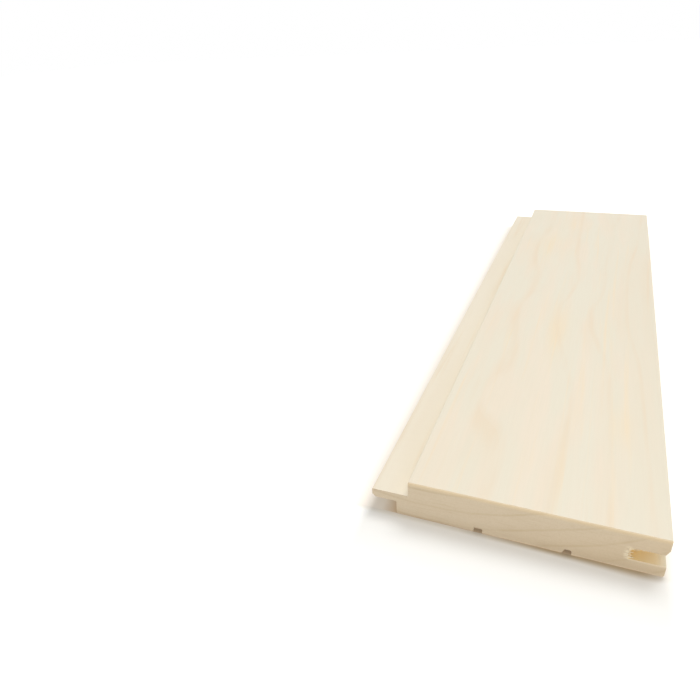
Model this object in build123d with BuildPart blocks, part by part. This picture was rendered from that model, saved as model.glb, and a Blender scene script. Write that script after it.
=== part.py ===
from build123d import *
import os

# Tongue and groove cladding board, planed aspen, millimetres.
# It lies on its back with the face up: length along Y, tongue on -X, groove on +X.
# The origin is under the middle of the board, on the surface that it lies on.

# The stock
board_length = 335
board_thickness = 15
face_width = 80

# Groove, on +X
groove_lip = 6.1            # wood over the groove, down from the face
groove_height = 4.6
groove_depth = 10.7         # in from the board's edge
groove_root_radius = 0.4
mouth_ease_width = 0.9      # slope that guides a tongue in under the upper lip
mouth_ease_height = 2.0

# How the board meets the ones beside it
reveal_width = 5            # open channel between two faces
tongue_engagement = 8       # reach of the tongue into the next board's groove
tongue_play_above = 0.1
tongue_play_below = 1.1
back_gap = 0.8              # from the back shoulder to the next board's lower lip

# Tongue tip
tip_bevel_width = 1.2
tip_bevel_height = 1.1
tip_radius = 0.3

# Relief grooves along the back, each set in from its own edge to its middle
relief_width = 2.9
relief_depth = 1.8
near_relief_inset = 28.35   # from the back shoulder
far_relief_inset = 27.85    # from the groove side
far_relief_lean = 0.8       # the far groove's tongue-side wall leans in by this much

# Arrises eased by the moulder
face_ease = 0.4
shoulder_ease = 0.5
back_ease = 0.8

# Places across the board: x from the middle of its overall width, z up from its back
tongue_projection = reveal_width + tongue_engagement
overall_width = face_width + tongue_projection
tongue_tip = -overall_width / 2
face_left = tongue_tip + tongue_projection
face_right = face_left + face_width
back_left = face_left - reveal_width + back_gap
groove_end = face_right - groove_depth
groove_top = board_thickness - groove_lip
groove_bottom = groove_top - groove_height
tongue_top = groove_top - tongue_play_above
tongue_bottom = groove_bottom + tongue_play_below

with BuildPart() as cladding_board:
    # The moulded section stands across the board and runs its whole length
    with BuildSketch(Plane.XZ) as section:
        with BuildLine() as tongue_side:
            Polyline(
                (face_right, board_thickness),
                (face_left, board_thickness),
                (face_left, tongue_top),
                (tongue_tip, tongue_top),
                (tongue_tip, tongue_bottom + tip_bevel_height),
                (tongue_tip + tip_bevel_width, tongue_bottom),
                (back_left, tongue_bottom),
                (back_left, 0),
                (face_right, 0),
                close=True,
            )
        make_face()

        # Groove between the two lips, with the upper lip sloped at its mouth
        with BuildLine() as groove:
            Polyline(
                (face_right, groove_bottom),
                (groove_end, groove_bottom),
                (groove_end, groove_top),
                (face_right - mouth_ease_width, groove_top),
                (face_right, groove_top + mouth_ease_height),
                close=True,
            )
        make_face(mode=Mode.SUBTRACT)

        # Corners eased by the cutters, each picked by where it lies in the section
        fillet(section.vertices().group_by(Axis.Y)[-1], face_ease)
        fillet(section.vertices().group_by(Axis.X)[0].sort_by(Axis.Y)[-1], tip_radius)
        fillet(section.vertices().group_by(Axis.Y)[0].sort_by(Axis.X)[0], shoulder_ease)
        fillet(section.vertices().group_by(Axis.Y)[0].sort_by(Axis.X)[-1], back_ease)
        groove_roots = section.vertices().filter_by(lambda v: abs(v.X - groove_end) < 0.01)
        fillet(groove_roots, groove_root_radius)

        # Square relief groove on the tongue's half of the back
        with Locations((back_left + near_relief_inset, relief_depth / 2)):
            Rectangle(relief_width, relief_depth, mode=Mode.SUBTRACT)

        # Relief groove on the other half, with one leaning wall
        far_relief_middle = face_right - far_relief_inset
        with BuildLine() as far_relief:
            Polyline(
                (far_relief_middle - relief_width / 2, 0),
                (far_relief_middle - relief_width / 2 + far_relief_lean, relief_depth),
                (far_relief_middle + relief_width / 2, relief_depth),
                (far_relief_middle + relief_width / 2, 0),
                close=True,
            )
        make_face(mode=Mode.SUBTRACT)
    extrude(amount=board_length / 2, both=True)

cladding_board.part.label = "cladding_board"

os.makedirs("parts", exist_ok=True)
export_step(cladding_board.part, "parts/cladding_board.step")
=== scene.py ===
import math
import bmesh
import bpy
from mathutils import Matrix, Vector
from mathutils.geometry import delaunay_2d_cdt
from mathutils.kdtree import KDTree


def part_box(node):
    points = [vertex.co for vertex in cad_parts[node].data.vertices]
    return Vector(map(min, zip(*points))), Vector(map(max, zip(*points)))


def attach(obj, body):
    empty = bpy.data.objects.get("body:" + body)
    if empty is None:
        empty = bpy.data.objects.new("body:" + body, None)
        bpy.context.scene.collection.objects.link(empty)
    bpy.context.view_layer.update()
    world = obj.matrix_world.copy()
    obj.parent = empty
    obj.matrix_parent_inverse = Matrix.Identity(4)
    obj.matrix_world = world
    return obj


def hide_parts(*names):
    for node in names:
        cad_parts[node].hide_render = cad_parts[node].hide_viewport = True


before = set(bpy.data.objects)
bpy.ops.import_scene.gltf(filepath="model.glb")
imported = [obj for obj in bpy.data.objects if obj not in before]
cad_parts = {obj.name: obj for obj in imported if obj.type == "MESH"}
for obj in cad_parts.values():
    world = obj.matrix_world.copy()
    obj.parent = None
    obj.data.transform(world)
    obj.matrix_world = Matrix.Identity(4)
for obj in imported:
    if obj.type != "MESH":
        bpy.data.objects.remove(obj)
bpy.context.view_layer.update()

# One tongue and groove cladding board, planed aspen, lying face up.
# Blender works in metres; sizes in the dictionaries are millimetres unless a note says otherwise.
# Length along Y, tongue on -X, groove on +X, back on the floor at z 0.

boardLow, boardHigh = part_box("cladding_board")
mm = 0.001


def hexToLinear(code):
    channels = [int(code[i:i + 2], 16) / 255 for i in (1, 3, 5)]
    linear = [c / 12.92 if c <= 0.04045 else ((c + 0.055) / 1.055) ** 2.4 for c in channels]
    return (*linear, 1.0)


def addNode(tree, kind, inputs=(), **settings):
    # inputs come in the node's own order, or by name or number in a dictionary;
    # each is a value, a socket, or a node, which gives the first of its outputs that is in use
    node = tree.nodes.new(kind)
    for name, value in settings.items():
        setattr(node, name, value)
    if not isinstance(inputs, dict):
        inputs = dict(enumerate(inputs))
    for key, value in inputs.items():
        if isinstance(value, bpy.types.Node):
            value = next(socket for socket in value.outputs if socket.enabled)
        if isinstance(value, bpy.types.NodeSocket):
            tree.links.new(value, node.inputs[key])
        else:
            node.inputs[key].default_value = value
    return node


def emptyTree(owner):
    owner.use_nodes = True
    owner.node_tree.nodes.clear()
    return owner.node_tree


def addObject(name, data):
    made = bpy.data.objects.new(name, data)
    bpy.context.scene.collection.objects.link(made)
    return made


# The board's section, drawn once round and then filled

section = {
    "faceWidth": 80,
    "grooveFloor": 4.3,         # up from the back
    "grooveHeight": 4.6,
    "grooveDepth": 10.7,
    "mouthSlope": (0.9, 2.0),
    "tongueTop": 8.8,
    "tongueBottom": 5.4,
    "tipBevel": (1.2, 1.1),
    "shoulder": 4.2,            # out from the face's edge
    "reliefWidth": 2.9,
    "reliefDepth": 1.8,
    "nearRelief": 24.15,        # middles, from the face's edge on the tongue's side
    "farRelief": 52.15,
    "reliefLean": 0.8,
    "faceEase": 0.4,
    "shoulderEase": 0.5,
    "backEase": 0.8,
    "rootEase": 0.4,
    "tipEase": 0.3,
    "reliefEase": 0.55,         # worn corner of the far relief groove
    "crispEase": 0.12,          # what a cutter leaves on any other corner
    "easeSteps": (4, 2),        # straight pieces in a rounded corner, and in a crisp one
    "pointSpacing": 1.0,
    "fineSpacing": 0.45,        # where the cutters left the wood rough
    "grooveReach": 2.5,         # that is this far past the groove's inner end,
    "grooveBand": (2.5, 11),    # between these heights,
    "reliefReach": 3,           # and this far to each side of a relief groove's middle,
    "reliefBand": 3.2,          # below this height
    "rimClearance": 0.6,        # share of the spacing that inner points keep from the outline
}

# the groove's inner end and the middle of its height, in metres
grooveEndX = boardHigh.x - section["grooveDepth"] * mm
grooveMiddleZ = (section["grooveFloor"] + section["grooveHeight"] / 2) * mm


def sectionCorners():
    # x, z and easing of each corner, once round
    s = section
    left, right, top = boardLow.x / mm, boardHigh.x / mm, boardHigh.z / mm
    faceLeft = right - s["faceWidth"]
    backLeft = faceLeft - s["shoulder"]
    half = s["reliefWidth"] / 2
    near, far = faceLeft + s["nearRelief"], faceLeft + s["farRelief"]
    grooveEnd = right - s["grooveDepth"]
    grooveTop = s["grooveFloor"] + s["grooveHeight"]
    crisp = s["crispEase"]
    return (
        (faceLeft, top, s["faceEase"]),
        (faceLeft, s["tongueTop"], crisp),
        (left, s["tongueTop"], s["tipEase"]),
        (left, s["tongueBottom"] + s["tipBevel"][1], crisp),
        (left + s["tipBevel"][0], s["tongueBottom"], crisp),
        (backLeft, s["tongueBottom"], crisp),
        (backLeft, 0, s["shoulderEase"]),
        (near - half, 0, crisp),
        (near - half, s["reliefDepth"], crisp),
        (near + half, s["reliefDepth"], crisp),
        (near + half, 0, crisp),
        (far - half, 0, crisp),
        (far - half + s["reliefLean"], s["reliefDepth"], crisp),
        (far + half, s["reliefDepth"], s["reliefEase"]),
        (far + half, 0, crisp),
        (right, 0, s["backEase"]),
        (right, s["grooveFloor"], crisp),
        (grooveEnd, s["grooveFloor"], s["rootEase"]),
        (grooveEnd, grooveTop, s["rootEase"]),
        (right - s["mouthSlope"][0], grooveTop, crisp),
        (right, grooveTop + s["mouthSlope"][1], crisp),
        (right, top, s["faceEase"]),
    )


def easeCorner(before, corner, after, radius):
    toBefore = (before - corner).normalized()
    toAfter = (after - corner).normalized()
    halfAngle = toBefore.angle(toAfter) / 2
    centre = corner + (toBefore + toAfter).normalized() * radius / math.sin(halfAngle)
    first = corner + toBefore * radius / math.tan(halfAngle) - centre
    last = corner + toAfter * radius / math.tan(halfAngle) - centre
    rounded, crisp = section["easeSteps"]
    steps = rounded if radius > section["crispEase"] else crisp
    return [centre + first.lerp(last, k / steps).normalized() * radius for k in range(steps + 1)]


def wantedSpacing(point):
    s = section
    fromRight = point.x - boardHigh.x / mm
    low, high = s["grooveBand"]
    nearGroove = fromRight > -s["grooveDepth"] - s["grooveReach"] and low < point.y < high
    fromRelief = min(abs(fromRight + s["faceWidth"] - s[name]) for name in ("nearRelief", "farRelief"))
    nearRelief = point.y < s["reliefBand"] and fromRelief < s["reliefReach"]
    return s["fineSpacing"] if nearGroove or nearRelief else s["pointSpacing"]


def drawOutline():
    corners = [(Vector((x, z)), ease) for x, z, ease in sectionCorners()]
    bare = []
    for i, (corner, ease) in enumerate(corners):
        bare += easeCorner(corners[i - 1][0], corner, corners[(i + 1) % len(corners)][0], ease)
    points = []
    for here, there in zip(bare, bare[1:] + bare[:1]):
        points.append(here)
        parts = max(1, round((there - here).length / wantedSpacing((here + there) / 2)))
        points += [here.lerp(there, k / parts) for k in range(1, parts)]
    return points


def makeSection():
    outline = drawOutline()
    tree = KDTree(len(outline))
    for i, point in enumerate(outline):
        tree.insert(point.to_3d(), i)
    tree.balance()
    # inner points stand in a staggered grid: every one where the wood is rough, every second one
    # in the two rows along the rubbed edges, and a quarter of them elsewhere
    inner = []
    fine = section["fineSpacing"]
    rows = int(boardHigh.z / mm / fine)
    columns = int((boardHigh.x - boardLow.x) / mm / fine)
    for row in range(1, rows):
        for column in range(1, columns):
            point = Vector((boardLow.x / mm + (column + 0.5 * (row % 2)) * fine, row * fine))
            spacing = wantedSpacing(point)
            rubbedAndPaintedLight = row in (1, rows - 1) and column % 2
            if spacing > fine and not rubbedAndPaintedLight and (row % 2 or column % 2):
                continue
            if tree.find(point.to_3d())[2] > (fine if rubbedAndPaintedLight else spacing) * section["rimClearance"]:
                inner.append(point)
    edges = [(i, (i + 1) % len(outline)) for i in range(len(outline))]
    onlyInside, tolerance = 1, 1e-7
    found, _, faces, *_ = delaunay_2d_cdt(outline + inner, edges, [], onlyInside, tolerance)
    mesh = bpy.data.meshes.new("boardSection")
    mesh.from_pydata([(p.x * mm, 0, p.y * mm) for p in found], [], faces)
    work = bmesh.new()
    work.from_mesh(mesh)
    bmesh.ops.delete(work, geom=[v for v in work.verts if not v.link_faces], context="VERTS")
    work.to_mesh(mesh)
    work.free()
    print("section drawn:", len(outline), "points round")
    return mesh


# The wood itself

stem = {
    "pithX": -25.5,             # centre of the tree, to the tongue's side
    "pithZ": 106.2,             # and this far over the board's back
    "firstRing": 93.4,          # radius of the first ring that the board cuts
    "ringSpacing": 6.3,         # one year's growth
    # how dark the wood is through one year, from spring to the end of summer
    "seasonShades": ((0.0, 0.62), (0.07, 0.07), (0.45, 0.0), (0.84, 0.24), (0.95, 1.0)),
    "outerRadius": (103, 117),  # between these the wood turns to the tone of the outer stem
    "wanderReach": 20,          # full height of the two curves below, and where their zero lies in it
    "wanderZero": 4,
    # how far the rings lean towards the tongue, by distance from the front end
    "wanderLeft": ((0, 1.8), (48, 0.6), (74, 1.4), (96, 4.6), (122, 10.4), (148, 13), (171, 9.3),
                   (196, 6.8), (240, 9), (335, 10.4)),
    "wanderRight": ((0, -2.6), (61, -1), (98, 0.4), (153, 5.6), (216, 5), (261, 0.8), (335, -3)),
    "wanderBlend": (6, 38),     # x where the left curve gives way to the right one
    "grainWander": 1.1,         # small irregular wander on top of that
    # x, y from the front end, half width, half length, and how far the ring radius shifts
    "swells": ((-12, 238, 9, 38, 2.1), (-16, 62, 13, 32, 2.2)),
    # warm mineral stains, placed in the same way, with their strength
    "stains": ((3, 129, 4.2, 25, 1.0), (32.5, 54, 3.6, 12, 0.7), (-1.5, 301, 8, 17, 0.5),
               (-11.5, 254, 8.5, 24, 0.8)),
    # size across the grain and along it, detail, roughness and distortion of each noise;
    # fibres are 0.02 mm across, too fine to show, so bundles 0.45 mm across stand for them
    "noises": {
        "wander": (30, 130, 3.5, 0.55, 0),
        "streak": (4.2, 120, 3, 0.55, 0.4),
        "patch": (9, 70, 3, 0.5, 0),
        "fibre": (0.45, 16, 3, 0.6, 0),
        "mottle": (9, 60, 2, 0.5, 0),
    },
    # ranges of a noise, and what they are turned to
    "warmRange": (0.56, 0.8, 0, 0.8),       # streaks that are warm without a stain
    "stainRange": (0.34, 0.6, 0.15, 1),     # how the streaks break up a stain
    "patchRange": (0.4, 0.62, 0.12, 1),     # each ring comes and goes along the board
}


def buildAspenFigure():
    # growth rings round the pith, warm streaks and fibres, solid through the wood,
    # so that a streak on the face is the same ring that shows on the end
    tree = bpy.data.node_groups.new("aspenFigure", "ShaderNodeTree")
    place = addNode(tree, "ShaderNodeTexCoord").outputs["Object"]
    inMm = addNode(tree, "ShaderNodeVectorMath", {0: place, "Scale": 1 / mm}, operation="SCALE")
    x, y, z = addNode(tree, "ShaderNodeSeparateXYZ", (inMm,)).outputs
    halfLength = boardHigh.y / mm
    noise = {}
    for name, (across, along, detail, roughness, distortion) in stem["noises"].items():
        stretched = addNode(tree, "ShaderNodeVectorMath", (inMm, (1 / across, 1 / along, 1 / across)),
                            operation="MULTIPLY")
        noise[name] = addNode(tree, "ShaderNodeTexNoise", {
            "Vector": stretched, "Scale": 1, "Detail": detail, "Roughness": roughness,
            "Distortion": distortion})

    # slow bends of the rings along the stem, one for each half of the board's width
    fromFront = addNode(tree, "ShaderNodeMapRange", (y, -halfLength, halfLength))
    bends = []
    for side in ("wanderLeft", "wanderRight"):
        bend = addNode(tree, "ShaderNodeFloatCurve", {"Value": fromFront})
        line = bend.mapping.curves[0]
        heights = [(d / (2 * halfLength), (lean + stem["wanderZero"]) / stem["wanderReach"])
                   for d, lean in stem[side]]
        line.points[0].location = heights[0]
        line.points[1].location = heights[-1]
        for spot in heights[1:-1]:
            line.points.new(*spot)
        bend.mapping.update()
        bends.append(bend)
    rightShare = addNode(tree, "ShaderNodeMapRange", (x, *stem["wanderBlend"]),
                         interpolation_type="SMOOTHSTEP")
    lean = addNode(tree, "ShaderNodeMix", {0: rightShare, 2: bends[0], 3: bends[1]})
    leanInMm = addNode(tree, "ShaderNodeMath", (lean, stem["wanderReach"], -stem["wanderZero"]),
                       operation="MULTIPLY_ADD")

    # distance from the pith, with a small irregular wander
    fromPithX = addNode(tree, "ShaderNodeMath", (x, stem["pithX"]), operation="SUBTRACT")
    leaned = addNode(tree, "ShaderNodeMath", (fromPithX, leanInMm), operation="ADD")
    fromPithZ = addNode(tree, "ShaderNodeMath", (z, stem["pithZ"]), operation="SUBTRACT")
    spoke = addNode(tree, "ShaderNodeCombineXYZ", {0: leaned, 2: fromPithZ})
    distance = addNode(tree, "ShaderNodeVectorMath", (spoke,), operation="LENGTH")
    wander = addNode(tree, "ShaderNodeMapRange", {
        0: noise["wander"], 3: -stem["grainWander"], 4: stem["grainWander"]})
    radius = addNode(tree, "ShaderNodeMath", (distance, wander), operation="ADD")

    # round hills: swells of the stem, which the face cuts into long loops, and the stains
    warmth = addNode(tree, "ShaderNodeMapRange", (noise["streak"], *stem["warmRange"]),
                     interpolation_type="SMOOTHSTEP")
    stainGrain = addNode(tree, "ShaderNodeMapRange", (noise["streak"], *stem["stainRange"]))
    for kind in ("swells", "stains"):
        for hillX, hillY, halfWidth, halfLong, amount in stem[kind]:
            offset = addNode(tree, "ShaderNodeVectorMath",
                             (inMm, (hillX, hillY - halfLength, boardHigh.z / mm)), operation="SUBTRACT")
            scaled = addNode(tree, "ShaderNodeVectorMath",
                             (offset, (1 / halfWidth, 1 / halfLong, 1 / halfWidth)), operation="MULTIPLY")
            square = addNode(tree, "ShaderNodeVectorMath", (scaled, scaled), operation="DOT_PRODUCT")
            less = addNode(tree, "ShaderNodeMath", (square, -1), operation="MULTIPLY")
            hill = addNode(tree, "ShaderNodeMath", (less,), operation="EXPONENT")
            if kind == "swells":
                radius = addNode(tree, "ShaderNodeMath", (hill, amount, radius), operation="MULTIPLY_ADD")
            else:
                grained = addNode(tree, "ShaderNodeMath", (hill, stainGrain), operation="MULTIPLY")
                warmth = addNode(tree, "ShaderNodeMath", (grained, amount, warmth), operation="MULTIPLY_ADD")

    years = addNode(tree, "ShaderNodeMath", (radius, stem["firstRing"]), operation="SUBTRACT")
    yearCount = addNode(tree, "ShaderNodeMath", (years, stem["ringSpacing"]), operation="DIVIDE")
    season = addNode(tree, "ShaderNodeMath", (yearCount,), operation="FRACT")
    ring = addNode(tree, "ShaderNodeValToRGB", (season,))
    ring.color_ramp.interpolation = "EASE"
    shades = stem["seasonShades"]
    stops = ring.color_ramp.elements
    stops[0].position, stops[1].position = shades[0][0], shades[-1][0]
    for spot, _ in shades[1:-1]:
        stops.new(spot)
    for stop, (_, shade) in zip(stops, shades):
        stop.color = (shade, shade, shade, 1)
    patchy = addNode(tree, "ShaderNodeMapRange", (noise["patch"], *stem["patchRange"]))
    latewood = addNode(tree, "ShaderNodeMath", (ring, patchy), operation="MULTIPLY")
    outer = addNode(tree, "ShaderNodeMapRange", (radius, *stem["outerRadius"]))
    made = {"Ring": ring, "Latewood": latewood, "Warmth": warmth, "Outer": outer,
            "Fibre": noise["fibre"], "Mottle": noise["mottle"]}
    for name in made:
        tree.interface.new_socket(name=name, in_out="OUTPUT", socket_type="NodeSocketFloat")
    addNode(tree, "NodeGroupOutput", made)
    return tree


aspenFigure = buildAspenFigure()
print("wood figure built")


def startWood(name):
    # a material that holds nothing yet but the wood's figure
    material = bpy.data.materials.new(name)
    tree = emptyTree(material)
    return material, tree, addNode(tree, "ShaderNodeGroup", node_tree=aspenFigure).outputs


def finishWood(tree, look, coats, relief, roughness=None):
    # lays each coat's colour over the ones before it, by its share, and raises the relief
    colour = hexToLinear(look["clear"])
    for shade, share in coats:
        colour = addNode(tree, "ShaderNodeMix", {0: share, 6: colour, 7: hexToLinear(look[shade])},
                         data_type="RGBA")
    bump = addNode(tree, "ShaderNodeBump", {"Distance": look["reliefDepth"] * mm, "Height": relief})
    shader = addNode(tree, "ShaderNodeBsdfPrincipled", {
        "Base Color": colour, "Roughness": roughness or look["roughness"], "IOR": look["ior"],
        "Normal": bump})
    addNode(tree, "ShaderNodeOutputMaterial", {"Surface": shader})


def cutterMarks(tree, look, figure):
    # relief of the marks that a rotating cutter leaves across the grain, with the fibres on top
    place = addNode(tree, "ShaderNodeTexCoord").outputs["Object"]
    scale = math.pi / (10 * look["markSpacing"] * mm)   # at scale 1 the wave's bands lie pi / 10 apart
    slowBend = 0.02             # the marks bend only over more than a hundred of them
    marks = addNode(tree, "ShaderNodeTexWave", {
        "Vector": place, "Scale": scale, "Distortion": look["markWander"], "Detail": 1,
        "Detail Scale": slowBend}, bands_direction="Y")
    return addNode(tree, "ShaderNodeMath", (marks.outputs["Fac"], look["markShare"], figure["Fibre"]),
                   operation="MULTIPLY_ADD")


planedFace = {
    "clear": "#F0E8D3",
    "cloud": "#F4E7D1",
    "warm": "#F7E4C3",
    "late": "#F0DDC0",
    "outer": "#ECE2CB",
    "fibreDark": "#EDE2CC",
    "cloudRange": (0.4, 0.62),
    "outerShare": 0.6,
    "lateShare": 0.66,
    "lateSoftness": 0.7,        # under 1 spreads a ring's colour out from its darkest line
    "fibreRange": (0.42, 0.7, 0, 0.3),
    "sheenRange": (0.3, 0.7, 0.51, 0.63),   # of the fibres, and the roughness that it gives
    "markSpacing": 3.4,         # marks of the rotating knives, coarser than the real 1.5 mm, to show
    "markWander": 0.6,
    "markShare": 0.25,          # of the marks in the relief, beside the fibres
    "reliefDepth": 0.018,
    "ior": 1.5,
}


def makePlanedFace():
    # Aspen, planed by a rotating cutterblock and left bare: pale and silky, with barely any pores,
    # faint warm growth rings and a soft sheen broken by fine knife marks
    look = planedFace
    material, tree, figure = startWood("planedAspenFace")
    cloudy = addNode(tree, "ShaderNodeMapRange", (figure["Mottle"], *look["cloudRange"]))
    outer = addNode(tree, "ShaderNodeMath", (figure["Outer"], look["outerShare"]), operation="MULTIPLY")
    softened = addNode(tree, "ShaderNodeMath", (figure["Latewood"], look["lateSoftness"]), operation="POWER")
    late = addNode(tree, "ShaderNodeMath", (softened, look["lateShare"]), operation="MULTIPLY")
    fine = addNode(tree, "ShaderNodeMapRange", (figure["Fibre"], *look["fibreRange"]))
    sheen = addNode(tree, "ShaderNodeMapRange", (figure["Fibre"], *look["sheenRange"]))
    coats = (("cloud", cloudy), ("outer", outer), ("warm", figure["Warmth"]), ("late", late),
             ("fibreDark", fine))
    finishWood(tree, look, coats, cutterMarks(tree, look, figure), sheen)
    return material


mouldedJoint = {
    "clear": "#F4EAD5",
    "warm": "#F0DFC3",
    "late": "#EDDCC0",
    "grooveBounceShade": "#F6DB9F",
    "grooveMouthShade": "#E0D4B8",
    "bounceShadeReach": 6,            # the painted bounce shade would end this far out from the groove's side
    "mouthShadeReach": (2.7, 0.5),   # in from that side, where the painted shade at the mouth begins, and is full
    "wallMargin": (0.2, 0.1),   # past the groove's end, and past its roof and floor, that count as inside
    "markSpacing": 4.6,         # marks of the profile cutters, also coarser than real ones
    "markWander": 1,
    "markShare": 0.5,
    "reliefDepth": 0.03,
    "roughness": 0.64,
    "ior": 1.5,
}


def makeMouldedJoint():
    # Aspen, shaped by profile cutters on its edges and back: duller and a little deeper than the face,
    # with chatter lines across the grain; deep in the groove a painted honey shade stands in for the warm
    # light that only arrives there from wall to wall, and a painted shade darkens the groove's mouth
    look = mouldedJoint
    material, tree, figure = startWood("mouldedAspenJoint")
    place = addNode(tree, "ShaderNodeTexCoord").outputs["Object"]
    x, _, z = addNode(tree, "ShaderNodeSeparateXYZ", (place,)).outputs
    pastEnd, pastWall = look["wallMargin"]
    grooveSide = addNode(tree, "ShaderNodeMath", (x, grooveEndX - pastEnd * mm), operation="GREATER_THAN")
    halfHigh = (section["grooveHeight"] / 2 + pastWall) * mm
    betweenLips = addNode(tree, "ShaderNodeMath", (z, grooveMiddleZ, halfHigh), operation="COMPARE")
    inGroove = addNode(tree, "ShaderNodeMath", (grooveSide, betweenLips), operation="MULTIPLY")
    # painted warm bounce light and shade, fuller towards the groove's inner end, and painted shade at its
    # mouth
    bounceShadeShare = addNode(tree, "ShaderNodeMapRange", (x, boardHigh.x + look["bounceShadeReach"] * mm, grooveEndX))
    begins, full = look["mouthShadeReach"]
    mouthShadeShare = addNode(tree, "ShaderNodeMapRange", (x, boardHigh.x - begins * mm, boardHigh.x - full * mm))
    coats = [("warm", figure["Warmth"]), ("late", figure["Latewood"])]
    for shade, share in (("grooveBounceShade", bounceShadeShare), ("grooveMouthShade", mouthShadeShare)):
        coats.append((shade, addNode(tree, "ShaderNodeMath", (share, inGroove), operation="MULTIPLY")))
    finishWood(tree, look, coats, cutterMarks(tree, look, figure))
    return material


sawnEnd = {
    "clear": "#CABAA1",
    "late": "#B5A07E",
    "pore": "#C0AD90",
    "outer": "#C8B598",
    # painted light: a warm glow under the top arris, where light shines through the thin edge
    "paintedArrisGlow": "#DEC59B",
    # painted highlight on the top arris and the lip, and painted light along the back's edge
    "rubbedAndPaintedLight": "#EADBC0",
    "torn": "#DACBAF",
    "poreRange": (0.4, 0.72, 0, 0.5),
    "scratchAngle": 17,         # degrees from level, rising towards the groove
    "scratchSize": (9, 0.7),    # along and across, coarser than a fine saw's 0.3 mm, to show
    "scratchRange": (0.5, 0.75, 0, 0.5),
    "lateShare": 0.22,          # for the whole ring, and again where it shows on the face
    "paintedArrisGlowEdge": (1.8, 0.75),   # painted glow, down from the face, and the share there
    "paintedHighlightEdge": (0.6, 0.7),
    "paintedBackLightEdge": (1.1, 0.1),     # painted light: heights where the back's edge begins to pale, and is palest
    "paintedBackLightRange": (-16, 2, 0.55),    # from one x to the other, towards the groove, up to this share
    "paintedLipHighlightEdge": (0.8, 0.45),     # painted highlight, down from the lip below the groove, and the share there
    "lipMargin": 0.2,
    "toothSize": (1.6, 0.55),   # teeth that the saw left beside the groove
    "toothRange": (0.4, 0.56),
    "reliefDepth": 0.05,
    "roughness": 0.8,
    "ior": 1.45,
}


def makeSawnEnd():
    # Aspen, cross-cut by a fine circular saw: open pores drink the light, so it is matt and deeper
    # than the face, with the rings as soft arcs, slanting saw scratches, a painted warm glow and highlight
    # at the top arris, painted light along the back's and the lip's edges, and pale torn wood where the cut
    # left the groove
    look = sawnEnd
    material, tree, figure = startWood("sawnAspenEnd")
    place = addNode(tree, "ShaderNodeTexCoord").outputs["Object"]
    across, _, height = addNode(tree, "ShaderNodeSeparateXYZ", (place,)).outputs
    pore = addNode(tree, "ShaderNodeMapRange", (figure["Fibre"], *look["poreRange"]))
    scratchLong, scratchWide = look["scratchSize"]
    turned = addNode(tree, "ShaderNodeMapping", {
        "Vector": place, "Rotation": (0, math.radians(look["scratchAngle"]), 0),
        "Scale": (1 / (scratchLong * mm), 1, 1 / (scratchWide * mm))})
    scratch = addNode(tree, "ShaderNodeTexNoise", {"Vector": turned, "Scale": 1, "Detail": 2})
    scratched = addNode(tree, "ShaderNodeMapRange", (scratch, *look["scratchRange"]))
    shown = addNode(tree, "ShaderNodeMath", (figure["Latewood"], look["lateShare"]), operation="MULTIPLY")
    late = addNode(tree, "ShaderNodeMath", (figure["Ring"], look["lateShare"], shown),
                   operation="MULTIPLY_ADD")
    coats = [("outer", figure["Outer"]), ("pore", pore), ("pore", scratched), ("late", late)]

    # painted light on the edges: a warm glow and a highlight under the face, light along the back that grows
    # towards the groove, and a highlight on the lip below the groove
    top = boardHigh.z
    for shade, edge in (("paintedArrisGlow", "paintedArrisGlowEdge"), ("rubbedAndPaintedLight", "paintedHighlightEdge")):
        depth, share = look[edge]
        nearTop = addNode(tree, "ShaderNodeMapRange", (height, top - depth * mm, top, 0, share))
        coats.append((shade, nearTop))
    begins, full = look["paintedBackLightEdge"]
    nearBack = addNode(tree, "ShaderNodeMapRange", (height, begins * mm, full * mm))
    begins, full, share = look["paintedBackLightRange"]
    towardsGroove = addNode(tree, "ShaderNodeMapRange", (across, begins * mm, full * mm, 0, share))
    paintedBackLight = addNode(tree, "ShaderNodeMath", (nearBack, towardsGroove), operation="MULTIPLY")
    lipTop = section["grooveFloor"] * mm
    depth, share = look["paintedLipHighlightEdge"]
    nearLip = addNode(tree, "ShaderNodeMapRange", (height, lipTop - depth * mm, lipTop, 0, share))
    belowLip = addNode(tree, "ShaderNodeMath", (height, lipTop + look["lipMargin"] * mm),
                       operation="LESS_THAN")
    alongLip = addNode(tree, "ShaderNodeMath", (across, grooveEndX), operation="GREATER_THAN")
    lipPlace = addNode(tree, "ShaderNodeMath", (belowLip, alongLip), operation="MULTIPLY")
    paintedLipHighlight = addNode(tree, "ShaderNodeMath", (nearLip, lipPlace), operation="MULTIPLY")

    # teeth in the zone that the board's tree marks as torn
    tornZone = addNode(tree, "ShaderNodeAttribute", attribute_name="torn").outputs["Fac"]
    toothLong, toothWide = look["toothSize"]
    combPlace = addNode(tree, "ShaderNodeVectorMath",
                        (place, (1 / (toothLong * mm), 1, 1 / (toothWide * mm))), operation="MULTIPLY")
    comb = addNode(tree, "ShaderNodeTexNoise", {"Vector": combPlace, "Scale": 1, "Detail": 1})
    teeth = addNode(tree, "ShaderNodeMapRange", (comb, *look["toothRange"]))
    torn = addNode(tree, "ShaderNodeMath", (tornZone, teeth), operation="MULTIPLY")
    coats += [("rubbedAndPaintedLight", paintedBackLight), ("rubbedAndPaintedLight", paintedLipHighlight), ("torn", torn)]
    relief = addNode(tree, "ShaderNodeMath", (scratch, figure["Fibre"]), operation="ADD")
    finishWood(tree, look, coats, relief)
    return material


# The board: its section, filled, and swept along the length

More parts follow.
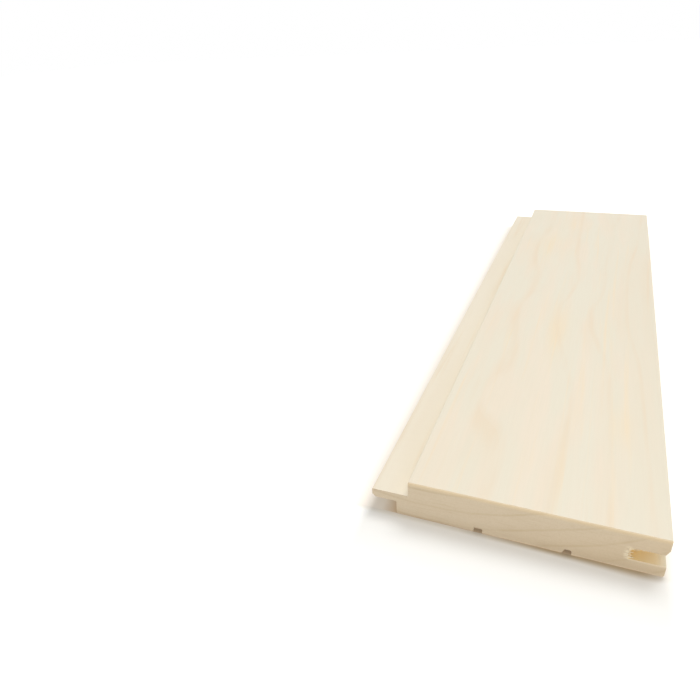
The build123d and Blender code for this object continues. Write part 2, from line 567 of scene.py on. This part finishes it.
sweptBoard = {
    # inputs of the tree, in its own units
    "inputs": {
        "Board Length": boardHigh.y - boardLow.y,
        "Steps Along": 150,
        "End Crowding": 0.82,       # 0 spaces the steps evenly, 1 crowds the ends
        "Planing Depth": 0.03 * mm,  # slow hollows that the feed rollers leave
        "Saw Depth": 0.05 * mm,
        "Saw Angle": math.radians(sawnEnd["scratchAngle"]),
        "Tear Depth": 0.5 * mm,     # wood pulled out where a cutter leaves the end
        "Top Ease": 0.16 * mm,      # cut edges, rubbed back
        "Bottom Ease": 0.1 * mm,
        "Seed": 4,
    },
    "planingWaves": (45, 60),   # across the board and along it
    "sawLines": (30, 2.2),      # along and across, coarser than real, as the mesh carries them
    "rubLength": 6,             # along the edge
    "rubRange": (0.3, 0.7, 0.6, 1.4),   # of a noise, and how much of the ease it leaves
    "rubDepth": 0.4,            # how far in from an edge the rubbing reaches
    "tearSize": 0.9,            # of one pulled lump
    "tearRange": (0.45, 0.7),
    "tearHalf": (1.2, 2.7),     # half the torn zone's width and height
    "tearBeyond": 0.1,          # its middle, past the groove's inner end
    "tearFade": (0.75, 1.2),    # shares of that half size between which it fades
    "faceDepth": 0.45,          # what lies this near to the top is planed face
    "endFacing": 0.35,          # and what points this much along the board is sawn end
    "sharpAngle": 24,           # degrees
    "weldDistance": 0.001,
    "endTolerance": 0.01,
}


def startTree(name, given, inputs, made):
    # a Geometry Nodes tree with one geometry in, one out and a named input for each size
    tree = bpy.data.node_groups.new(name, "GeometryNodeTree")
    tree.interface.new_socket(name=given, in_out="INPUT", socket_type="NodeSocketGeometry")
    keys = {}
    for label, value in inputs.items():
        kind = "NodeSocketInt" if isinstance(value, int) else "NodeSocketFloat"
        keys[label] = tree.interface.new_socket(name=label, in_out="INPUT", socket_type=kind).identifier
    tree.interface.new_socket(name=made, in_out="OUTPUT", socket_type="NodeSocketGeometry")
    return tree, keys, addNode(tree, "NodeGroupInput").outputs


def buildSweepTree(face, joint, end):
    look = sweptBoard
    tree, keys, given = startTree("mouldedBoardSweep", "Section", look["inputs"], "Board")
    length, seed = given["Board Length"], given["Seed"]
    halfLength = addNode(tree, "ShaderNodeMath", (length, 0.5), operation="MULTIPLY")
    spots = []
    for side in (-1, 1):
        along = addNode(tree, "ShaderNodeMath", (halfLength, side), operation="MULTIPLY")
        spots.append(addNode(tree, "ShaderNodeCombineXYZ", {1: along}))

    # walls: the rim of the section swept along the board, with its steps crowded at both ends
    rimFaces = addNode(tree, "GeometryNodeInputMeshEdgeNeighbors")
    isRim = addNode(tree, "FunctionNodeCompare", {2: rimFaces, 3: 1}, data_type="INT", operation="EQUAL")
    rim = addNode(tree, "GeometryNodeMeshToCurve", {"Mesh": given["Section"], "Selection": isRim})
    rimFlat = addNode(tree, "GeometryNodeTransform", {"Geometry": rim, "Rotation": (math.pi / 2, 0, 0)})
    axis = addNode(tree, "GeometryNodeCurvePrimitiveLine", {"Start": spots[0], "End": spots[1]})
    steps = addNode(tree, "GeometryNodeResampleCurve", {"Curve": axis, "Count": given["Steps Along"]})
    share = addNode(tree, "GeometryNodeSplineParameter").outputs["Factor"]
    turn = addNode(tree, "ShaderNodeMath", (share, math.tau), operation="MULTIPLY")
    swing = addNode(tree, "ShaderNodeMath", (turn,), operation="SINE")
    pull = addNode(tree, "ShaderNodeMath", (given["End Crowding"], -1 / math.tau), operation="MULTIPLY")
    shift = addNode(tree, "ShaderNodeMath", (swing, pull), operation="MULTIPLY")
    shiftLength = addNode(tree, "ShaderNodeMath", (shift, length), operation="MULTIPLY")
    shiftAlong = addNode(tree, "ShaderNodeCombineXYZ", {1: shiftLength})
    crowded = addNode(tree, "GeometryNodeSetPosition", {"Geometry": steps, "Offset": shiftAlong})
    upright = addNode(tree, "GeometryNodeSetCurveNormal", {"Curve": crowded}, mode="Z_UP")
    walls = addNode(tree, "GeometryNodeCurveToMesh", {"Curve": upright, "Profile Curve": rimFlat})

    # ends: the filled section itself at both ends, welded to the walls
    ends = [addNode(tree, "GeometryNodeTransform", {"Geometry": given["Section"], "Translation": spot})
            for spot in spots]
    joined = addNode(tree, "GeometryNodeJoinGeometry")
    for part in (walls, *ends):
        tree.links.new(part.outputs[0], joined.inputs[0])
    welded = addNode(tree, "GeometryNodeMergeByDistance", {
        "Geometry": joined, "Distance": look["weldDistance"] * mm})
    position = addNode(tree, "GeometryNodeInputPosition")
    x, y, z = addNode(tree, "ShaderNodeSeparateXYZ", (position,)).outputs
    fromMiddle = addNode(tree, "ShaderNodeMath", (y,), operation="ABSOLUTE")
    toEnd = addNode(tree, "ShaderNodeMath", (halfLength, fromMiddle), operation="SUBTRACT")
    isEnd = addNode(tree, "ShaderNodeMath", (toEnd, look["endTolerance"] * mm), operation="LESS_THAN")

    # planing: shallow hollows, sunk towards the middle of the thickness
    wide, long = look["planingWaves"]
    slow = addNode(tree, "ShaderNodeVectorMath",
                   (position, (1 / (wide * mm), 1 / (long * mm), 1 / (wide * mm))), operation="MULTIPLY")
    slowNoise = addNode(tree, "ShaderNodeTexNoise", {"Vector": slow, "W": seed, "Scale": 1, "Detail": 1},
                        noise_dimensions="4D")
    sunk = addNode(tree, "ShaderNodeMath", (slowNoise, given["Planing Depth"]), operation="MULTIPLY")
    middle = addNode(tree, "ShaderNodeMapRange", (z, 0, boardHigh.z, 1, -1))
    sunkDown = addNode(tree, "ShaderNodeMath", (sunk, middle), operation="MULTIPLY")
    planing = addNode(tree, "ShaderNodeCombineXYZ", {2: sunkDown})
    planed = addNode(tree, "GeometryNodeSetPosition", {"Geometry": welded, "Offset": planing})

    # shallow saw lines across the ends
    lineLong, linePitch = look["sawLines"]
    cosine = addNode(tree, "ShaderNodeMath", (given["Saw Angle"],), operation="COSINE")
    sine = addNode(tree, "ShaderNodeMath", (given["Saw Angle"],), operation="SINE")
    rise = addNode(tree, "ShaderNodeMath", (z, cosine), operation="MULTIPLY")
    run = addNode(tree, "ShaderNodeMath", (x, sine), operation="MULTIPLY")
    across = addNode(tree, "ShaderNodeMath", (rise, run), operation="SUBTRACT")
    acrossFine = addNode(tree, "ShaderNodeMath", (across, 1 / (linePitch * mm)), operation="MULTIPLY")
    alongSlow = addNode(tree, "ShaderNodeMath", (x, 1 / (lineLong * mm)), operation="MULTIPLY")
    sawPlace = addNode(tree, "ShaderNodeCombineXYZ", {0: alongSlow, 2: acrossFine})
    sawNoise = addNode(tree, "ShaderNodeTexNoise", {"Vector": sawPlace, "W": seed, "Scale": 1, "Detail": 1},
                       noise_dimensions="4D")
    cutBack = addNode(tree, "ShaderNodeMath", (sawNoise, given["Saw Depth"]), operation="MULTIPLY")

    # cut edges rubbed back a little unevenly, along the face and along the back
    rubPlace = addNode(tree, "ShaderNodeMath", (x, 1 / (look["rubLength"] * mm)), operation="MULTIPLY")
    rubNoise = addNode(tree, "ShaderNodeTexNoise", {"W": rubPlace, "Scale": 1, "Detail": 2},
                       noise_dimensions="1D")
    uneven = addNode(tree, "ShaderNodeMapRange", (rubNoise, *look["rubRange"]))
    depth = look["rubDepth"] * mm
    for name, edge, inside in (("Top Ease", boardHigh.z, boardHigh.z - depth), ("Bottom Ease", 0, depth)):
        atEdge = addNode(tree, "ShaderNodeMapRange", (z, inside, edge))
        rubbedAndPaintedLight = addNode(tree, "ShaderNodeMath", (atEdge, uneven), operation="MULTIPLY")
        cutBack = addNode(tree, "ShaderNodeMath", (rubbedAndPaintedLight, given[name], cutBack), operation="MULTIPLY_ADD")

    # tears that eat into the wood round the groove's inner end
    tearNoise = addNode(tree, "ShaderNodeTexNoise", {
        "Vector": position, "W": seed, "Detail": 2, "Scale": 1 / (look["tearSize"] * mm)},
        noise_dimensions="4D")
    pulled = addNode(tree, "ShaderNodeMapRange", (tearNoise, *look["tearRange"]))
    tearMiddle = (grooveEndX - look["tearBeyond"] * mm, 0, grooveMiddleZ)
    apart = addNode(tree, "ShaderNodeVectorMath", (position, tearMiddle), operation="SUBTRACT")
    halfWide, halfHigh = look["tearHalf"]
    flat = addNode(tree, "ShaderNodeVectorMath", (apart, (1 / (halfWide * mm), 0, 1 / (halfHigh * mm))),
                   operation="MULTIPLY")
    distance = addNode(tree, "ShaderNodeVectorMath", (flat,), operation="LENGTH")
    torn = addNode(tree, "ShaderNodeMapRange", (distance, *look["tearFade"], 1, 0))
    tear = addNode(tree, "ShaderNodeMath", (pulled, torn), operation="MULTIPLY")
    cutBack = addNode(tree, "ShaderNodeMath", (tear, given["Tear Depth"], cutBack), operation="MULTIPLY_ADD")
    outward = addNode(tree, "ShaderNodeMath", (y,), operation="SIGN")
    cutY = addNode(tree, "ShaderNodeMath", (cutBack, outward), operation="MULTIPLY")
    cutInward = addNode(tree, "ShaderNodeMath", (cutY, -1), operation="MULTIPLY")
    cut = addNode(tree, "ShaderNodeCombineXYZ", {1: cutInward})
    ended = addNode(tree, "GeometryNodeSetPosition", {"Geometry": planed, "Selection": isEnd, "Offset": cut})
    marked = addNode(tree, "GeometryNodeStoreNamedAttribute",
                     {"Geometry": ended, "Name": "torn", "Value": torn}, data_type="FLOAT", domain="POINT")

    normal = addNode(tree, "GeometryNodeInputNormal")
    facing = addNode(tree, "ShaderNodeSeparateXYZ", (normal,)).outputs[1]
    alongBoard = addNode(tree, "ShaderNodeMath", (facing,), operation="ABSOLUTE")
    isSawn = addNode(tree, "ShaderNodeMath", (alongBoard, look["endFacing"]), operation="GREATER_THAN")
    isFace = addNode(tree, "ShaderNodeMath", (z, boardHigh.z - look["faceDepth"] * mm),
                     operation="GREATER_THAN")
    made = addNode(tree, "GeometryNodeRealizeInstances", {"Geometry": marked})
    for finish, where in ((joint, True), (face, isFace), (end, isSawn)):
        made = addNode(tree, "GeometryNodeSetMaterial",
                       {"Geometry": made, "Selection": where, "Material": finish})
    addNode(tree, "NodeGroupOutput", (made,))
    return tree, keys


sameSpot = 1e-6                 # metres; points nearer to each other than this are one


def growPiece(name, startMesh, tree, keys, inputs):
    # runs a Geometry Nodes tree on a start mesh and keeps what it makes as a plain mesh
    start = addObject(name + "Start", startMesh)
    modifier = start.modifiers.new(name, "NODES")
    modifier.node_group = tree
    for label, key in keys.items():
        modifier[key] = inputs[label]
    bpy.context.view_layer.update()
    ready = start.evaluated_get(bpy.context.evaluated_depsgraph_get())
    mesh = bpy.data.meshes.new_from_object(ready)
    start.modifiers.remove(modifier)
    bpy.data.objects.remove(start)
    mesh.name = name
    work = bmesh.new()
    work.from_mesh(mesh)
    bmesh.ops.remove_doubles(work, verts=work.verts, dist=sameSpot)
    bmesh.ops.recalc_face_normals(work, faces=work.faces)
    openEdges = sum(1 for e in work.edges if len(e.link_faces) != 2)
    work.to_mesh(mesh)
    work.free()
    print(name, "grown:", len(mesh.polygons), "faces, open edges", openEdges)
    return addObject(name, mesh)


sweepTree, sweepKeys = buildSweepTree(makePlanedFace(), makeMouldedJoint(), makeSawnEnd())
board = growPiece("claddingBoard", makeSection(), sweepTree, sweepKeys, sweptBoard["inputs"])
board.data.shade_smooth()
board.data.set_sharp_from_angle(angle=math.radians(sweptBoard["sharpAngle"]))
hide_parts("cladding_board")
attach(board, "root")
print("board dressed")


# Torn fibres that the cross-cut left hanging in the groove

tornFibres = {
    "inputs": {
        "Fibre Spacing": 0.36 * mm,
        "Fibre Length": 1.8 * mm,
        "Fibre Width": 0.6 * mm,    # a fibre is far thinner, so each sliver is a tuft
        "Kept Share": 0.85,
        "Seed": 11,
    },
    # both ends of each torn edge: out from the groove's inner end and down from its roof, then the way
    # in x and z that the fibres hang, as long as they are there
    "edges": (((6.2, 0, 0.1, -0.45), (0.5, 0, 0.15, -0.8)),
              ((3.8, 0, -0.1, -0.5), (0.7, 0, 0.2, -0.8)),
              ((0, 0.1, 1, 0), (0, 4.4, 1, 0))),
    "setBack": 0.32,            # from the sawn end
    "sides": 5,
    "tipShare": 0.3,            # of the width at the root
    "stray": ((-0.5, -0.1, -0.5), (0.5, 0.25, 0.5)),    # least and most that a tuft leans off
    "growth": ((0.6, 0.35, 0.4), (1.3, 0.7, 1.1)),      # and of its width, thickness and length
}


def drawTornEdges():
    grooveTop = section["grooveFloor"] + section["grooveHeight"]
    points, edges, inward = [], [], []
    for side in (-1, 1):
        y = side * (boardHigh.y - tornFibres["setBack"] * mm)
        for ends in tornFibres["edges"]:
            edges.append((len(points), len(points) + 1))
            for out, down, toX, toZ in ends:
                points.append((grooveEndX + out * mm, y, (grooveTop - down) * mm))
                inward.append((toX, 0, toZ))
    mesh = bpy.data.meshes.new("tornEdges")
    mesh.from_pydata(points, edges, [])
    direction = mesh.attributes.new("inward", "FLOAT_VECTOR", "POINT")
    for spot, value in zip(direction.data, inward):
        spot.vector = value
    return mesh


def buildFibreTree(material):
    look = tornFibres
    tree, keys, given = startTree("tornFibreTufts", "Torn Edges", look["inputs"], "Fibres")
    seed = given["Seed"]
    lines = addNode(tree, "GeometryNodeMeshToCurve", {"Mesh": given["Torn Edges"]})
    spots = addNode(tree, "GeometryNodeCurveToPoints", {"Curve": lines, "Length": given["Fibre Spacing"]},
                    mode="LENGTH")
    kept = addNode(tree, "FunctionNodeRandomValue", {"Probability": given["Kept Share"], "Seed": seed},
                   data_type="BOOLEAN")
    inward = addNode(tree, "GeometryNodeInputNamedAttribute", {"Name": "inward"}, data_type="FLOAT_VECTOR")
    stray, growth = [addNode(tree, "FunctionNodeRandomValue", {0: least, 1: most, "Seed": seed},
                             data_type="FLOAT_VECTOR") for least, most in (look["stray"], look["growth"])]
    leaning = addNode(tree, "ShaderNodeVectorMath", (inward, stray), operation="ADD")
    pointing = addNode(tree, "FunctionNodeAlignRotationToVector", {"Vector": leaning}, axis="Z")
    thick = addNode(tree, "ShaderNodeMath", (given["Fibre Width"], 0.5), operation="MULTIPLY")
    tip = addNode(tree, "ShaderNodeMath", (thick, look["tipShare"]), operation="MULTIPLY")
    sliver = addNode(tree, "GeometryNodeMeshCone", {"Vertices": look["sides"], "Radius Top": tip,
                     "Radius Bottom": thick, "Depth": given["Fibre Length"]})
    share = addNode(tree, "ShaderNodeVectorMath", (inward,), operation="LENGTH")
    sized = addNode(tree, "ShaderNodeVectorMath", {0: growth, "Scale": share}, operation="SCALE")
    tufts = addNode(tree, "GeometryNodeInstanceOnPoints", {"Points": spots, "Selection": kept,
                    "Instance": sliver, "Rotation": pointing, "Scale": sized})
    plain = addNode(tree, "GeometryNodeRealizeInstances", {"Geometry": tufts})
    dressed = addNode(tree, "GeometryNodeSetMaterial", {"Geometry": plain, "Material": material})
    addNode(tree, "NodeGroupOutput", (dressed,))
    return tree, keys


tornWood = {
    "clear": "#E0D2B7",
    "warm": "#D2BE9A",
    "reliefDepth": 0.02,
    "roughness": 0.75,
    "ior": 1.45,
}


def makeTornWood():
    # Aspen fibres, torn loose by the saw: paler than the cut wood, because they scatter the light
    material, tree, figure = startWood("tornAspenFibre")
    finishWood(tree, tornWood, [("warm", figure["Fibre"])], figure["Fibre"])
    return material


fibreTree, fibreKeys = buildFibreTree(makeTornWood())
fibres = growPiece("tornFibres", drawTornEdges(), fibreTree, fibreKeys, tornFibres["inputs"])
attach(fibres, "root")
print("torn fibres dressed")


# Floor, light and camera

studio = {
    "floorSize": 6000,
    "floorShade": "#F8F7F3",
    "gapPaintedShadow": "#BBA889",      # painted shadow on the paper in the thin gap before the end
    "tunnelPaintedShade": "#CFB797",   # and painted shade on the paper under the board, where the relief grooves show it
    "gapReach": (0.2, 2.6),     # how far before the end the painted shadow is full, and gone
    "gapRise": (-19, 12, 0.35), # x where it grows to full from this share, as the board nears the paper
    "gapFade": (7.5, 0.33),     # where it fades again, in from the groove's side, and how fast
    "gapWiden": (12, 37, 0.7),  # x where it grows wider, as the gap does
    "liftNear": 0.02,           # light that the camera alone sees in the paper, at the board
    "liftFar": 0.4,             # and clear of it, where the photograph is blown to white
    "liftReach": 60,
    "litSides": 8,              # the lift grows this many times faster on all sides but the front
    "skyHorizon": 0.97,
    "skyTop": 0.37,
    "keyPower": 1.13,
    "keyHeight": 60,            # degrees over the horizon
    "keyTurn": 18,              # degrees from straight behind, towards the groove
    "keySoftness": 28,          # degrees that the lamp spans
    "fillPower": 3.1,           # watts
    "fillPlace": (160, -1040, 300),
    "fillSize": 700,
    "lensLength": 30.844,
    "sensorWidth": 36,
    "clipStart": 10,
    "cameraPlace": (13.774, -316.048, 151.269),
    "cameraTurn": (61.3843, 3.1360, 22.0460),   # degrees
}


def seenDirectly(tree):
    # 1 for what the camera sees, also by way of a reflection or through glass
    path = addNode(tree, "ShaderNodeLightPath").outputs
    either = addNode(tree, "ShaderNodeMath", (path["Is Camera Ray"], path["Is Glossy Ray"]),
                     operation="MAXIMUM")
    return addNode(tree, "ShaderNodeMath", (either, path["Is Transmission Ray"]), operation="MAXIMUM")


def makeFloor():
    # White sweep paper: plain and matt, blown to white round the board and grey in its shadow; a painted
    # shadow lies in the gap before the end and painted shade under the board
    material = bpy.data.materials.new("mattSweepPaper")
    tree = emptyTree(material)
    place = addNode(tree, "ShaderNodeTexCoord").outputs["Object"]
    across, along, _ = addNode(tree, "ShaderNodeSeparateXYZ", (place,)).outputs
    wide, long, fast = boardHigh.x, boardHigh.y, studio["litSides"]
    backLeft = wide - (section["faceWidth"] + section["shoulder"]) * mm
    fadeIn, fadePace = studio["gapFade"]

    # distance from the board, and from the middle part of its back, each counted faster on some sides
    distances = []
    for left, leftPace, right, rightPace in ((-wide, fast, wide, fast),
                                             (backLeft, 0, wide - fadeIn * mm, fadePace)):
        rightOrFar = addNode(tree, "ShaderNodeVectorMath", (
            place, (rightPace, fast, 0), (-rightPace * right, -fast * long, 0)), operation="MULTIPLY_ADD")
        leftOrFront = addNode(tree, "ShaderNodeVectorMath", (
            place, (-leftPace, -1, 0), (leftPace * left, -long, 0)), operation="MULTIPLY_ADD")
        past = addNode(tree, "ShaderNodeVectorMath", (rightOrFar, leftOrFront), operation="MAXIMUM")
        clear = addNode(tree, "ShaderNodeVectorMath", (past, (0, 0, 0)), operation="MAXIMUM")
        distances.append(addNode(tree, "ShaderNodeVectorMath", (clear,), operation="LENGTH"))
    fromBoard, fromBack = distances

    # painted shadow in the gap before the end, and painted shade under the board and its tongue
    begins, ends, pace = studio["gapWiden"]
    slower = addNode(tree, "ShaderNodeMapRange", (across, begins * mm, ends * mm, 1, pace))
    intoGap = addNode(tree, "ShaderNodeMath", (fromBack, slower), operation="MULTIPLY")
    full, gone = studio["gapReach"]
    inGap = addNode(tree, "ShaderNodeMapRange", (intoGap, gone * mm, full * mm),
                    interpolation_type="SMOOTHSTEP")
    begins, ends, least = studio["gapRise"]
    rise = addNode(tree, "ShaderNodeMapRange", (across, begins * mm, ends * mm, least, 1))
    behindEnd = addNode(tree, "ShaderNodeMath", (along, -long), operation="GREATER_THAN")
    underTongue = addNode(tree, "ShaderNodeMapRange", (across, -wide, backLeft))
    underneath = addNode(tree, "ShaderNodeMath", (behindEnd, underTongue), operation="MULTIPLY")
    gapShare = addNode(tree, "ShaderNodeMath", (rise, underneath), operation="MAXIMUM")
    under = addNode(tree, "ShaderNodeMath", (inGap, gapShare), operation="MULTIPLY")
    darker = addNode(tree, "ShaderNodeMix", {
        0: behindEnd, 6: hexToLinear(studio["gapPaintedShadow"]), 7: hexToLinear(studio["tunnelPaintedShade"])},
        data_type="RGBA")
    shade = addNode(tree, "ShaderNodeMix", {0: under, 6: hexToLinear(studio["floorShade"]), 7: darker},
                    data_type="RGBA")
    paper = addNode(tree, "ShaderNodeBsdfDiffuse", {"Color": shade})
    lift = addNode(tree, "ShaderNodeMapRange", (
        fromBoard, 0, studio["liftReach"] * mm, studio["liftNear"], studio["liftFar"]))
    glow = addNode(tree, "ShaderNodeEmission", {"Color": (1, 1, 1, 1), "Strength": lift})
    lifted = addNode(tree, "ShaderNodeAddShader", (paper, glow))
    shown = addNode(tree, "ShaderNodeMixShader", (seenDirectly(tree), paper, lifted))
    addNode(tree, "ShaderNodeOutputMaterial", {"Surface": shown})
    half = studio["floorSize"] * mm / 2
    mesh = bpy.data.meshes.new("sweepPaper")
    corners = [(-half, -half, 0), (half, -half, 0), (half, half, 0), (-half, half, 0)]
    mesh.from_pydata(corners, [], [(0, 1, 2, 3)])
    mesh.materials.append(material)
    floor = addObject("sweepPaper", mesh)


def makeSky():
    world = bpy.data.worlds.new("whiteStudio")
    tree = emptyTree(world)
    direction = addNode(tree, "ShaderNodeTexCoord").outputs["Generated"]
    height = addNode(tree, "ShaderNodeSeparateXYZ", (direction,)).outputs[2]
    level = addNode(tree, "ShaderNodeMapRange", {0: height, 3: studio["skyHorizon"], 4: studio["skyTop"]})
    soft = addNode(tree, "ShaderNodeBackground", {"Color": (1, 1, 1, 1), "Strength": level})
    white = addNode(tree, "ShaderNodeBackground", {"Color": (1, 1, 1, 1), "Strength": 1})
    shown = addNode(tree, "ShaderNodeMixShader", (seenDirectly(tree), soft, white))
    addNode(tree, "ShaderNodeOutputWorld", {"Surface": shown})
    bpy.context.scene.world = world


def makeLamps():
    # a large soft lamp above and behind the board, and a low one in front that fills the end
    lamp = bpy.data.lights.new("keySoftbox", "SUN")
    lamp.energy = studio["keyPower"]
    lamp.angle = math.radians(studio["keySoftness"])
    key = addObject("keySoftbox", lamp)
    key.rotation_euler = (math.radians(studio["keyHeight"] - 90), 0, math.radians(-studio["keyTurn"]))
    panel = bpy.data.lights.new("frontFill", "AREA")
    panel.energy = studio["fillPower"]
    panel.size = studio["fillSize"] * mm
    fill = addObject("frontFill", panel)
    fill.location = Vector(studio["fillPlace"]) * mm
    aim = Vector((0, boardLow.y, boardHigh.z / 2)) - fill.location
    fill.rotation_euler = aim.to_track_quat("-Z", "Y").to_euler()
    fill.visible_camera = False


def makeCamera():
    # the photograph's own view: placed and turned so that the board's corners fall where they do there
    lens = bpy.data.cameras.new("photoView")
    lens.sensor_fit = "HORIZONTAL"
    lens.sensor_width = studio["sensorWidth"]
    lens.lens = studio["lensLength"]
    lens.clip_start = studio["clipStart"] * mm
    camera = addObject("photoView", lens)
    camera.location = Vector(studio["cameraPlace"]) * mm
    camera.rotation_euler = [math.radians(a) for a in studio["cameraTurn"]]
    bpy.context.scene.camera = camera


makeFloor()
makeSky()
makeLamps()
makeCamera()
bpy.context.scene.view_settings.view_transform = "Standard"
print("studio set")
